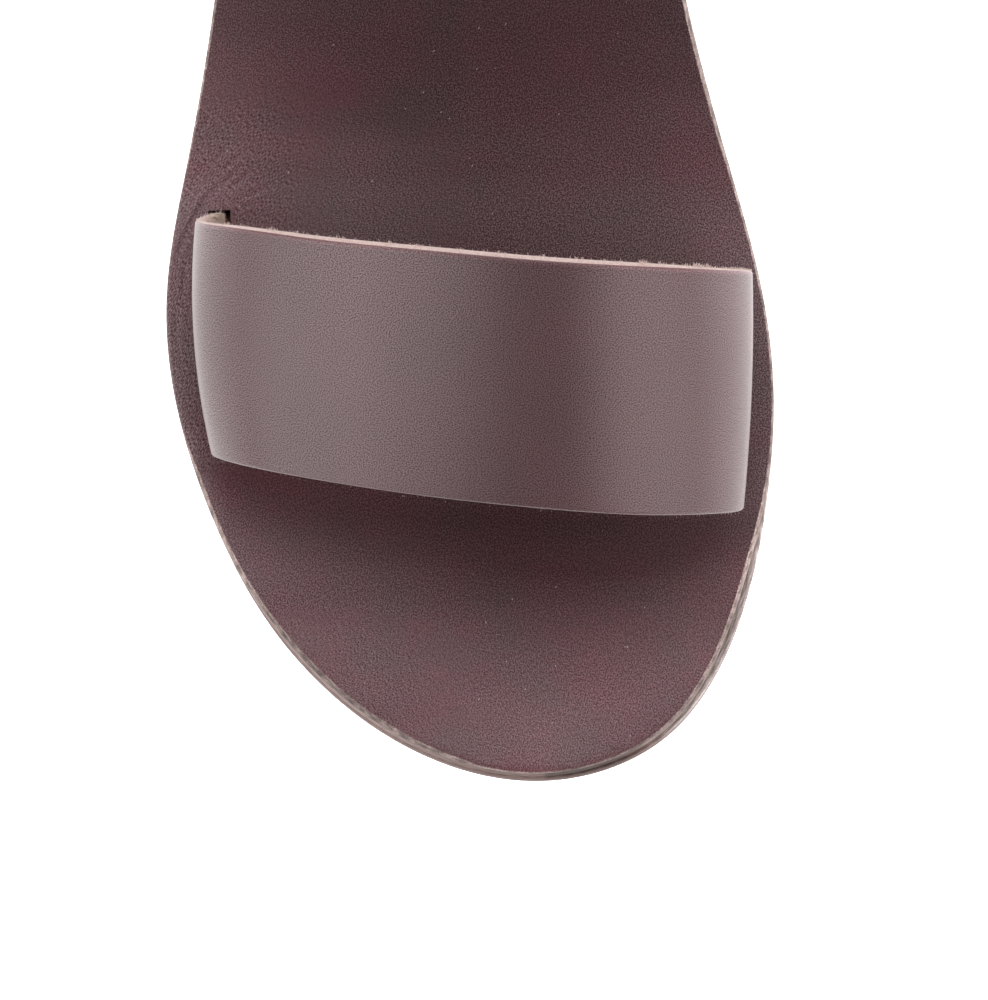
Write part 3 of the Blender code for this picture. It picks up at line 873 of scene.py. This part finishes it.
def make_footbed():
    low, top = GLUE_LINE, GLUE_GAP + INSOLE_THICKNESS
    ring = outline(0.0)
    bm = cut_footbed(ring, low, top)
    flat = np.array([vert.co for vert in bm.verts])
    from_rim, along_rim = nearest_rim(ring, flat[:, :2])
    # only the upper face falls and creases, and the creases die out at the rim
    on_top = smooth_step((flat[:, 2] - (top - 1.2)) / 0.6)
    roll = rim_fall(flat[:, 0], flat[:, 1], from_rim)
    crease = crease_height(flat[:, 0], flat[:, 1]) * smooth_step(from_rim / 1.5)
    edge_layer, dye_and_light_layer, sheen_layer, rubbed_layer = [
        bm.verts.layers.float.new(name) for name in ("from_edge", "dye_and_painted_light", "sheen", "rubbed")]
    along_layer = bm.verts.layers.float_vector.new("along_rim")
    bm.verts.index_update()
    for face in bm.faces:
        upper = min(vert.co.z for vert in face.verts) > top - RIM_ROUND - 0.05
        in_slit = min(from_rim[vert.index] for vert in face.verts) > 2.0
        is_level = abs(face.normal.z) > 0.9
        face.material_index = 0 if upper or (in_slit and not is_level) else 1
    for vert, rim, along, up, fall, fold in zip(bm.verts, from_rim, along_rim, on_top, roll,
                                                crease):
        x, y, z = vert.co
        column = 1 if x < TOE_TIP[0] else 2
        sanded = table_value(SANDED, y, 1 if x < 0.0 else 2)
        in_slit = rim > 2.0 and z < top - 0.1
        on_rim = rim < 0.01 and z < top - RIM_ROUND + 0.05
        dressed = DRESSED_PALE[column - 1] * min(1.0, table_value(RIM_FADING, y, column))
        vert[edge_layer] = rim - max(0.0, top - RIM_ROUND - z) + SANDED_MARK - sanded
        # the layer carries painted shade in a slit, the dressed rim's paleness and, on the upper
        # face, painted light and shade
        vert[dye_and_light_layer] = SLIT_PAINTED_SHADE if in_slit else dressed if on_rim else painted_light_at(x, y, rim)
        vert[rubbed_layer] = table_value(RUBBED, y, column)
        vert[along_layer] = Vector((along, z - top - rim, 0.0)) * MM
        vert[sheen_layer] = SLIT_SHEEN if in_slit else across(SHEEN, x, y, rim, SHEEN_CURVE)
        vert.co = bed_point(x, y, z + up * (fold - fall))
    piece = add_piece("footbed", bm, [footbed, rim_finish])
    print("footbed:", len(piece.data.polygons), "faces")
    return piece


footbed_piece = make_footbed()
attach(footbed_piece, "root")
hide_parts("insole")

# %% [markdown]
# ## Outsole and heel lift
#
# The outsole is the same kind of slab over a slightly wider plan line, with a shallow bed
# let into it for each end of the band. The lift is a block of rubber under the heel.

# %% Outsole, mm
BED_DEPTH = SKIVED_THICKNESS + GLUE_GAP
RIM_TOP = -1.0              # above this height the rim is worn, below it is as dressed


def make_outsole():
    ring = outline(1.0)
    bm = flat_slab(ring, -OUTSOLE_THICKNESS, 0.0)
    bevel_rim(bm, 0.0, 0.3, 3)
    bmesh.ops.inset_region(bm, faces=level(bm.faces, 0.0), thickness=1.2)
    bevel_rim(bm, -OUTSOLE_THICKNESS, 0.5, 3)
    for slit, side in SLITS:
        bed = slot_faces(bm, 0.0, slit, side, FOLD_RADIUS + TURNED_LENGTH + SLIT_CLEAR,
                         SLIT_OUTSIDE)
        sunk = bmesh.ops.extrude_face_region(bm, geom=bed)["geom"]
        bmesh.ops.translate(bm, vec=(0.0, 0.0, -BED_DEPTH),
                            verts=[item for item in sunk if isinstance(item, bmesh.types.BMVert)])
        bmesh.ops.delete(bm, geom=bed, context="FACES_ONLY")
    slice_rows(bm, 1, np.arange(-124.0, 125.0, BEND_STEP))
    for face in level(bm.faces, -OUTSOLE_THICKNESS) + level(bm.faces, -BED_DEPTH):
        face.material_index = 1
    dye_and_light_layer = bm.verts.layers.float.new("dye_and_painted_light")
    along_layer = bm.verts.layers.float_vector.new("along_rim")
    from_rim, along_rim = nearest_rim(ring, np.array([vert.co.xy for vert in bm.verts]))
    for vert, rim, along in zip(bm.verts, from_rim, along_rim):
        x, y, z = vert.co
        pale = table_value(RIM_FADING, y, 1 if x < TOE_TIP[0] else 2)
        vert[dye_and_light_layer] = pale if z > RIM_TOP else 1.0
        vert[along_layer] = Vector((along, z - rim, 0.0)) * MM
        vert.co = bed_point(x, y, z)
    piece = add_piece("outsole_leather", bm, [rim_finish, sole_finish])
    print("outsole:", len(piece.data.polygons), "faces")
    return piece


outsole_piece = make_outsole()
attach(outsole_piece, "root")
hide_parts("outsole")


# %% Heel lift
RUBBER_GRIT = 0.0005        # across one grain of its moulded skin, in metres
RUBBER_DUST = 0.012         # across a dusty patch


def heel_rubber():
    """Matt moulded rubber with a little dust on it."""
    material, tree, shader, place = new_finish("moulded_heel_rubber")
    grit = node(tree, "TexNoise", (place, 1.0 / RUBBER_GRIT, 4.0, 0.6))
    dust = node(tree, "TexNoise", (place, 1.0 / RUBBER_DUST, 3.0))
    tone = node(tree, "ValToRGB", {"Fac": dust}, stops=((0.3, "2a2523"), (0.75, "3a3431")))
    rough = node(tree, "MapRange", (grit, 0.0, 1.0, 0.68, 0.9))
    relief = node(tree, "Bump", {"Height": grit, "Strength": 0.7, "Distance": 0.00008})
    fill(tree, shader, {"Base Color": tone, "Roughness": rough, "Normal": relief})
    return material


def make_lift():
    bm = bmesh.new()
    bm.faces.new([bm.verts.new((x, y, 0.0)) for x, y in outline(1.0)])
    bmesh.ops.bisect_plane(bm, geom=bm.verts[:] + bm.edges[:] + bm.faces[:],
                           dist=OUTLINE_SPACING / 2.0, plane_co=(0.0, HEEL_BREAST, 0.0),
                           plane_no=(0.0, 1.0, 0.0), clear_inner=True)
    rim = bmesh.ops.inset_region(bm, faces=bm.faces[:], thickness=HEEL_INSET)["faces"]
    bmesh.ops.delete(bm, geom=rim, context="FACES")
    corners = [vert.co.xy.copy() for vert in bm.faces[:][0].verts]
    bm.free()
    bm = flat_slab(corners, 0.0, HEEL_RISE - GLUE_LINE)
    bevel_rim(bm, 0.0, 0.5, 3)
    bmesh.ops.triangulate(bm, faces=[face for face in bm.faces if len(face.verts) > 4])
    piece = add_piece("rubber_lift", bm, [heel_rubber()])
    print("heel lift:", len(piece.data.polygons), "faces")
    return piece


lift_piece = make_lift()
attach(lift_piece, "root")
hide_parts("heel_lift")

# %% [markdown]
# ## Band leather
#
# The band is another hide: full grain with a thin satin pigment finish, so its grain is
# only a fine stipple. Its underside is flesh side, brushed like suede, and its cut edges
# are left raw: pale, undyed fibre.

# %% Band finishes
BAND_GRAIN = 0.00016        # across one grain, in metres, drawn coarser than the real one
BAND_CLOUD = 0.013          # across a lighter or a darker patch
FIBRE_CLUMP = 0.00035       # across a clump of raw fibre


def satin_leather():
    """Full-grain leather under a thin satin finish of pigment."""
    material, tree, shader, place = new_finish("satin_full_grain_leather")
    strip = node(tree, "Attribute", output="Vector", attribute_name="strip")
    grains = stipple(tree, strip, BAND_GRAIN, 0.5)
    cloud = node(tree, "TexNoise", (place, 1.0 / BAND_CLOUD, 3.0))
    tone = node(tree, "ValToRGB", {"Fac": cloud}, stops=((0.3, "463133"), (0.7, "4a3335")))
    speck, rough, glint = [
        node(tree, "MapRange", (grains, 0.0, 1.0, low, high))
        for low, high in ((0.44, 1.62), (0.27, 0.38), (0.05, 0.95))]
    # painted light: the mesh carries how much lighter the band is painted, most on its flanks
    dye_and_painted_light = node(tree, "Attribute", output="Fac", attribute_name="dye_and_painted_light")
    # the finish is rubbed thin along the rear edge
    forward = node(tree, "SeparateXYZ", {"Vector": strip}, "Y")
    thin = node(tree, "MapRange", (forward, 0.0002, 0.0009, 1.9, 1.0))
    relief = node(tree, "Bump", {"Height": grains, "Strength": 1.0, "Distance": 0.000006})
    fill(tree, shader, {"Base Color": shaded(tree, tone, speck, dye_and_painted_light, thin),
                        "Roughness": rough, "IOR": 1.5, "Specular IOR Level": glint,
                        "Normal": relief})
    return material


def raw_fibre(name, dark, light, arris=1.0, front=1.0):
    """Undyed leather fibre, as on a cut edge or a flesh side; `arris` is how pale it stays
    where the cut edge meets the grain, `front` towards the band's front edge, which is
    handled more."""
    material, tree, shader, place = new_finish(name)
    hairs = node(tree, "TexNoise", (place, 1.0 / FIBRE_CLUMP, 4.0, 0.7))
    tone = node(tree, "ValToRGB", {"Fac": hairs}, stops=((0.32, dark), (0.7, light)))
    strip = node(tree, "Attribute", output="Vector", attribute_name="strip")
    forward = node(tree, "SeparateXYZ", {"Vector": strip}, "Y")
    soiled, dyed = [
        node(tree, "MapRange", (forward, start, end, 1.0, share))
        for start, end, share in ((0.005, 0.03, front), (0.0, 0.00024, arris))]
    relief = node(tree, "Bump", {"Height": hairs, "Strength": 0.9, "Distance": 0.00015})
    fill(tree, shader, {"Base Color": shaded(tree, tone, soiled, dyed), "Roughness": 0.9,
                        "Sheen Weight": 0.3, "Normal": relief})
    return material


band_finish = satin_leather()
edge_finish = raw_fibre("raw_cut_leather_edge", "bfa19a", "e8d0c9", arris=0.5, front=0.6)
flesh_finish = raw_fibre("brushed_flesh_side", "b88b76", "e4bca5")
print("band finishes:", band_finish.name, edge_finish.name, flesh_finish.name)

# %% [markdown]
# ## The band
#
# The band is one strip of leather: a grid with its rows laid along the path over the
# foot, down through the slits, round a tight fold and flat under the footbed. Solidify
# gives it thickness, less where its ends are skived, and Bevel rounds the cut grain.

# %% Path of the band, mm
BAND = (
    # rear x, y,     z,    front x, y,     z,    belly
    (-39.1,  -42.6, 19.0, -36.9,   -77.2, 14.0, -1.4),
    (-33.6,  -44.1, 32.8, -31.6,   -78.9, 24.0, -0.9),
    (-21.5,  -46.0, 41.4, -20.5,   -81.0, 29.6, -0.3),
    (-6.0,   -47.7, 46.6, -5.5,    -83.2, 32.6, 0.0),
    (10.0,   -49.2, 48.6, 9.5,     -84.8, 33.6, 0.0),
    (24.5,   -50.0, 45.8, 23.5,    -85.8, 31.6, 0.0),
    (35.2,   -50.3, 37.0, 34.0,    -85.8, 25.6, 0.3),
    (40.1,   -50.1, 20.0, 39.1,    -85.1, 14.0, 0.5),
)
SLIT_HEIGHT = OUTSOLE_THICKNESS + GLUE_GAP + INSOLE_THICKNESS / 2.0
BAND_STEPS = 24             # samples between two rows of the table
BAND_ROW = 0.8              # between the rows of the mesh
BAND_COLUMNS = 40


def turned_end(slit, side):
    """Rows of the band from the slit down, round the fold and inward under the footbed."""
    rear, front, inward = slit_frame(slit, side)
    bed_middle = OUTSOLE_THICKNESS - SKIVED_THICKNESS / 2.0
    steps = [(0.0, SLIT_HEIGHT)]
    for degrees in (0.0, 30.0, 60.0, 90.0):
        turn = math.radians(degrees)
        steps.append((FOLD_RADIUS * (1.0 - math.cos(turn)),
                      bed_middle + FOLD_RADIUS * (1.0 - math.sin(turn))))
    for part in (0.1, 0.3, 0.6, 1.0):
        steps.append((FOLD_RADIUS + TURNED_LENGTH * part, bed_middle))
    return [[*(rear + inward * distance), height, *(front + inward * distance), height, 0.0]
            for distance, height in steps]


band_rows = turned_end(LATERAL_SLIT, -1.0)[::-1] + list(BAND) + turned_end(MEDIAL_SLIT, 1.0)
band_path = evenly_spaced(smooth_curve(band_rows, BAND_STEPS, closed=False), BAND_ROW)
band_path = np.column_stack([band_path, BAND_ROW * np.arange(len(band_path))])
print("band path:", len(band_path), "rows")


# %% Band mesh
FRONT_TRIM = 0.0075         # share of its width that the front edge is trimmed by
# painted light: the band's flanks, where the side lamps fall, are painted lighter than its crown
BAND_PAINTED_LIGHT = ((-41.0, -24.0, -16.0, 0.0, 6.0, 14.0, 22.0, 41.0),
              (0.38, 0.30, 0.44, 0.06, 0.0, 0.08, 0.55, 0.80))   # x, how much paler
SKIVE_RUN = 2.0             # mm of height over which the ends are thinned
EDGE_ROUND = 0.5            # mm, of the cut edges
EDGE_ANGLE = 50.0           # degrees; a sharper edge than this is rounded


def make_band():
    bm = bmesh.new()
    dye_and_light_layer = bm.verts.layers.float.new("dye_and_painted_light")
    strip_layer = bm.verts.layers.float_vector.new("strip")
    bmesh.ops.create_grid(bm, x_segments=len(band_path) - 1, y_segments=BAND_COLUMNS, size=1.0)
    for vert in bm.verts:
        row = band_path[round((0.5 + 0.5 * vert.co.x) * (len(band_path) - 1))]
        rear, width, belly, run = row[:3], row[3:6] - row[:3], row[6], row[7]
        forward = (0.5 - 0.5 * vert.co.y) * (1.0 - FRONT_TRIM)
        point = rear + width * forward
        point[0] += belly * 4.0 * forward * (1.0 - forward)     # most in the band's middle
        vert[strip_layer] = Vector((run, forward * np.linalg.norm(width), 0.0)) * MM
        vert[dye_and_light_layer] = 1.0 + float(np.interp(point[0], *BAND_PAINTED_LIGHT))
        vert.co = Vector(point)
    bmesh.ops.recalc_face_normals(bm, faces=bm.faces[:])
    crown = max(bm.faces, key=lambda face: face.calc_center_median().z)
    if crown.normal.z < 0.0:
        bmesh.ops.reverse_faces(bm, faces=bm.faces[:])
    piece = add_piece("band", bm, [band_finish, flesh_finish, edge_finish])
    full = piece.vertex_groups.new(name="full_thickness")
    for vert in piece.data.vertices:
        above = vert.co.z / MM - SLIT_HEIGHT + SKIVE_RUN / 2.0
        full.add([vert.index], float(smooth_step(above / SKIVE_RUN)), "REPLACE")
    wall = piece.modifiers.new("thickness", "SOLIDIFY")
    wall.thickness = STRAP_THICKNESS * MM
    wall.offset = 0.0
    wall.use_even_offset = True
    wall.vertex_group = full.name
    wall.thickness_vertex_group = SKIVED_THICKNESS / STRAP_THICKNESS
    wall.material_offset = 1
    wall.material_offset_rim = 2
    edge = piece.modifiers.new("eased_edge", "BEVEL")
    edge.width = EDGE_ROUND * MM
    edge.segments = 4
    edge.limit_method = "ANGLE"
    edge.angle_limit = math.radians(EDGE_ANGLE)
    print("band:", len(piece.data.polygons), "faces before its thickness")
    return piece


band_piece = make_band()
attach(band_piece, "root")
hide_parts("strap")

# %% [markdown]
# ## Loose fibres and dust
#
# A knife leaves fibres standing on a cut edge. Real ones are too fine to show, so they
# are drawn as somewhat thicker spikes, alone or in tufts; the largest tuft is where the
# band was forced through the rear end of the lateral slit. Each spike has three sides, and
# a fixed seed keeps them the same every time. The dust on the footbed is made likewise.

# %% One spike
SEED = 11
chance = np.random.default_rng(SEED)


def add_spike(bm, root, direction, length, thickness):
    """Three-sided spike standing on `root`, sizes in mm."""
    direction = Vector(direction).normalized()
    turn = direction.to_track_quat("Z", "Y").to_matrix().to_4x4()
    bmesh.ops.create_cone(bm, cap_ends=True, segments=3, radius1=thickness / 2.0,
                          radius2=thickness / 8.0, depth=length,
                          matrix=Matrix.Translation(Vector(root) + direction * length / 2.0) @ turn)


def band_frame(place, front):
    """Edge point at this row of the band, and its directions off, along and outward."""
    row = band_path[place]
    edge = row[3:6] if front else row[:3]
    off = (row[3:6] - row[:3]) * (1.0 if front else -1.0)
    along = band_path[place + 1][:3] - band_path[place - 1][:3]
    outward = np.cross(along, row[:3] - row[3:6])
    return edge, *(v / np.linalg.norm(v) for v in (off, along, outward))


# %% Fibres of the band's raw edges, mm
SINGLE_FIBRES = ((700, False, 0.36), (60, True, 0.12))     # how many, front edge, longest
FIBRE_THICKNESS, TUFT_THICKNESS = 0.075, 0.09
TUFTS = (24.2, 25.4, 33.0, 34.3, 39.5)     # x of the larger tufts on the rear edge
SMALL_TUFTS = 44
ABOVE_BED = 8.0             # z from which the band's edges are in the open
CORNER_FIBRES = 1000
CORNER_HEIGHTS, CORNER_SIDE = (9.0, 23.0), -33.0       # z and x of the band's torn corner


def make_edge_fibres():
    bm = bmesh.new()
    half = STRAP_THICKNESS / 2.0
    shown = [i for i, row in enumerate(band_path[:-1]) if row[2] > ABOVE_BED]
    for count, front, longest in SINGLE_FIBRES:
        for _ in range(count):
            edge, off, along, outward = band_frame(chance.choice(shown), front)
            root = edge + along * chance.uniform(-0.4, 0.4) + outward * chance.uniform(-half, half)
            aim = off + along * chance.normal(0.0, 0.6) + outward * chance.normal(0.0, 0.5)
            add_spike(bm, root, aim, 0.08 + longest * chance.random() ** 2, FIBRE_THICKNESS)
    places = [min(shown, key=lambda i: abs(band_path[i][0] - x)) for x in TUFTS]
    for place in [*places, *chance.choice(shown, SMALL_TUFTS)]:
        edge, off, along, outward = band_frame(place, False)
        large = place in places
        size = 0.45 if large else chance.uniform(0.15, 0.4)
        for _ in range(26 if large else 12):
            root = edge + along * chance.normal(0.0, size * 0.6)
            root = root + outward * chance.uniform(-half, half)
            aim = off + along * chance.normal(0.0, 0.8) + outward * chance.normal(0.0, 0.4)
            add_spike(bm, root, aim, size * chance.uniform(0.6, 1.3), TUFT_THICKNESS)
    return bm


def make_corner_tuft():
    """Fibres pulled out of the flesh side where the band enters the lateral slit."""
    bm = bmesh.new()
    low = [i for i, row in enumerate(band_path)
           if CORNER_HEIGHTS[0] < row[2] < CORNER_HEIGHTS[1] and row[0] < CORNER_SIDE]
    for _ in range(CORNER_FIBRES):
        edge, off, along, outward = band_frame(chance.choice(low), False)
        root = edge - outward * chance.uniform(0.6, 1.0) - off * chance.uniform(0.05, 1.6)
        aim = off * 0.2 - outward * 0.6 + np.array([0.0, 0.0, 0.6]) + chance.normal(0.0, 0.8, 3)
        add_spike(bm, root, aim, chance.uniform(0.3, 1.0), chance.uniform(0.06, 0.12))
    return bm


def add_fibres(name, bm, dark, light):
    piece = add_piece(name, bm, [raw_fibre(name, dark, light)])
    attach(piece, "root")
    print(name, len(piece.data.polygons), "faces")


add_fibres("edge_fibres", make_edge_fibres(), "e0c2ba", "fae6de")
add_fibres("corner_tuft", make_corner_tuft(), "b98e79", "fff0e2")

# %% Dust on the footbed
DUST = (
    # x,    y,      length, turn: mm and degrees
    (-5.5,  -17.2,  0.40,   20.0),
    (1.3,   -13.8,  0.25,   70.0),
    (5.2,   -13.2,  0.22,   40.0),
    (0.9,   -19.8,  0.25,   10.0),
    (-6.9,  -23.4,  0.28,   85.0),
    (-3.1,  -27.2,  0.25,   30.0),
    (-4.3,  -26.3,  0.30,   60.0),
    (13.0,  -26.5,  0.25,   15.0),
    (-20.2, -16.3,  0.25,   50.0),
    (0.3,   -34.3,  0.25,   75.0),
    (8.7,   -34.3,  0.22,   35.0),
    (3.3,   -41.4,  0.25,   80.0),
    (-9.6,  -25.7,  0.22,   5.0),
    (-14.5, -36.6,  0.25,   65.0),
    (-26.9, -35.3,  0.36,   50.0),
    (-33.9, -40.3,  0.34,   150.0),
    (-33.2, -39.0,  0.25,   25.0),
    (-35.9, -32.1,  0.30,   60.0),
    (25.7,  -100.1, 0.30,   60.0),
    (23.2,  -106.0, 0.30,   70.0),
    (12.6,  -96.9,  0.25,   20.0),
    (6.2,   -98.8,  0.22,   45.0),
    (2.4,   -102.4, 0.28,   110.0),
    (5.3,   -108.1, 0.25,   30.0),
    (1.3,   -113.7, 0.30,   65.0),
    (12.6,  -108.8, 0.25,   80.0),
    (12.0,  -117.1, 0.25,   10.0),
    (8.1,   -112.2, 0.22,   50.0),
    (23.5,  -119.0, 0.28,   70.0),
)
STRAY_DUST = 150
SPECK_THICKNESS, STRAY_THICKNESS = 0.12, 0.06
CLEAN_RIM = 1.5             # no dust stays this near the rim


def make_dust():
    bm = bmesh.new()
    flecks = [(*fleck, SPECK_THICKNESS) for fleck in DUST]
    for _ in range(STRAY_DUST):
        flecks.append((chance.uniform(-30.0, 25.0), chance.uniform(-112.0, 118.0),
                       chance.uniform(0.08, 0.2), chance.uniform(0.0, 180.0), STRAY_THICKNESS))
    rims = nearest_rim(outline(0.0), np.array([fleck[:2] for fleck in flecks]))[0]
    for (x, y, length, turn, thickness), rim in zip(flecks, rims):
        if rim < CLEAN_RIM:
            continue
        turn = math.radians(turn)
        height = GLUE_GAP + INSOLE_THICKNESS - float(rim_fall(x, y, rim)) + thickness / 3.0
        root = bed_point(x, y, height)
        ahead = bed_point(x + math.cos(turn), y + math.sin(turn), height)
        add_spike(bm, root, ahead - root, length, thickness)
    return bm


dust_finish = raw_fibre("pale_house_dust", "cbbdb8", "efe6e2")
dust_piece = add_piece("dust_flecks", make_dust(), [dust_finish])
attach(dust_piece, "root")
print("dust:", len(dust_piece.data.polygons), "faces")
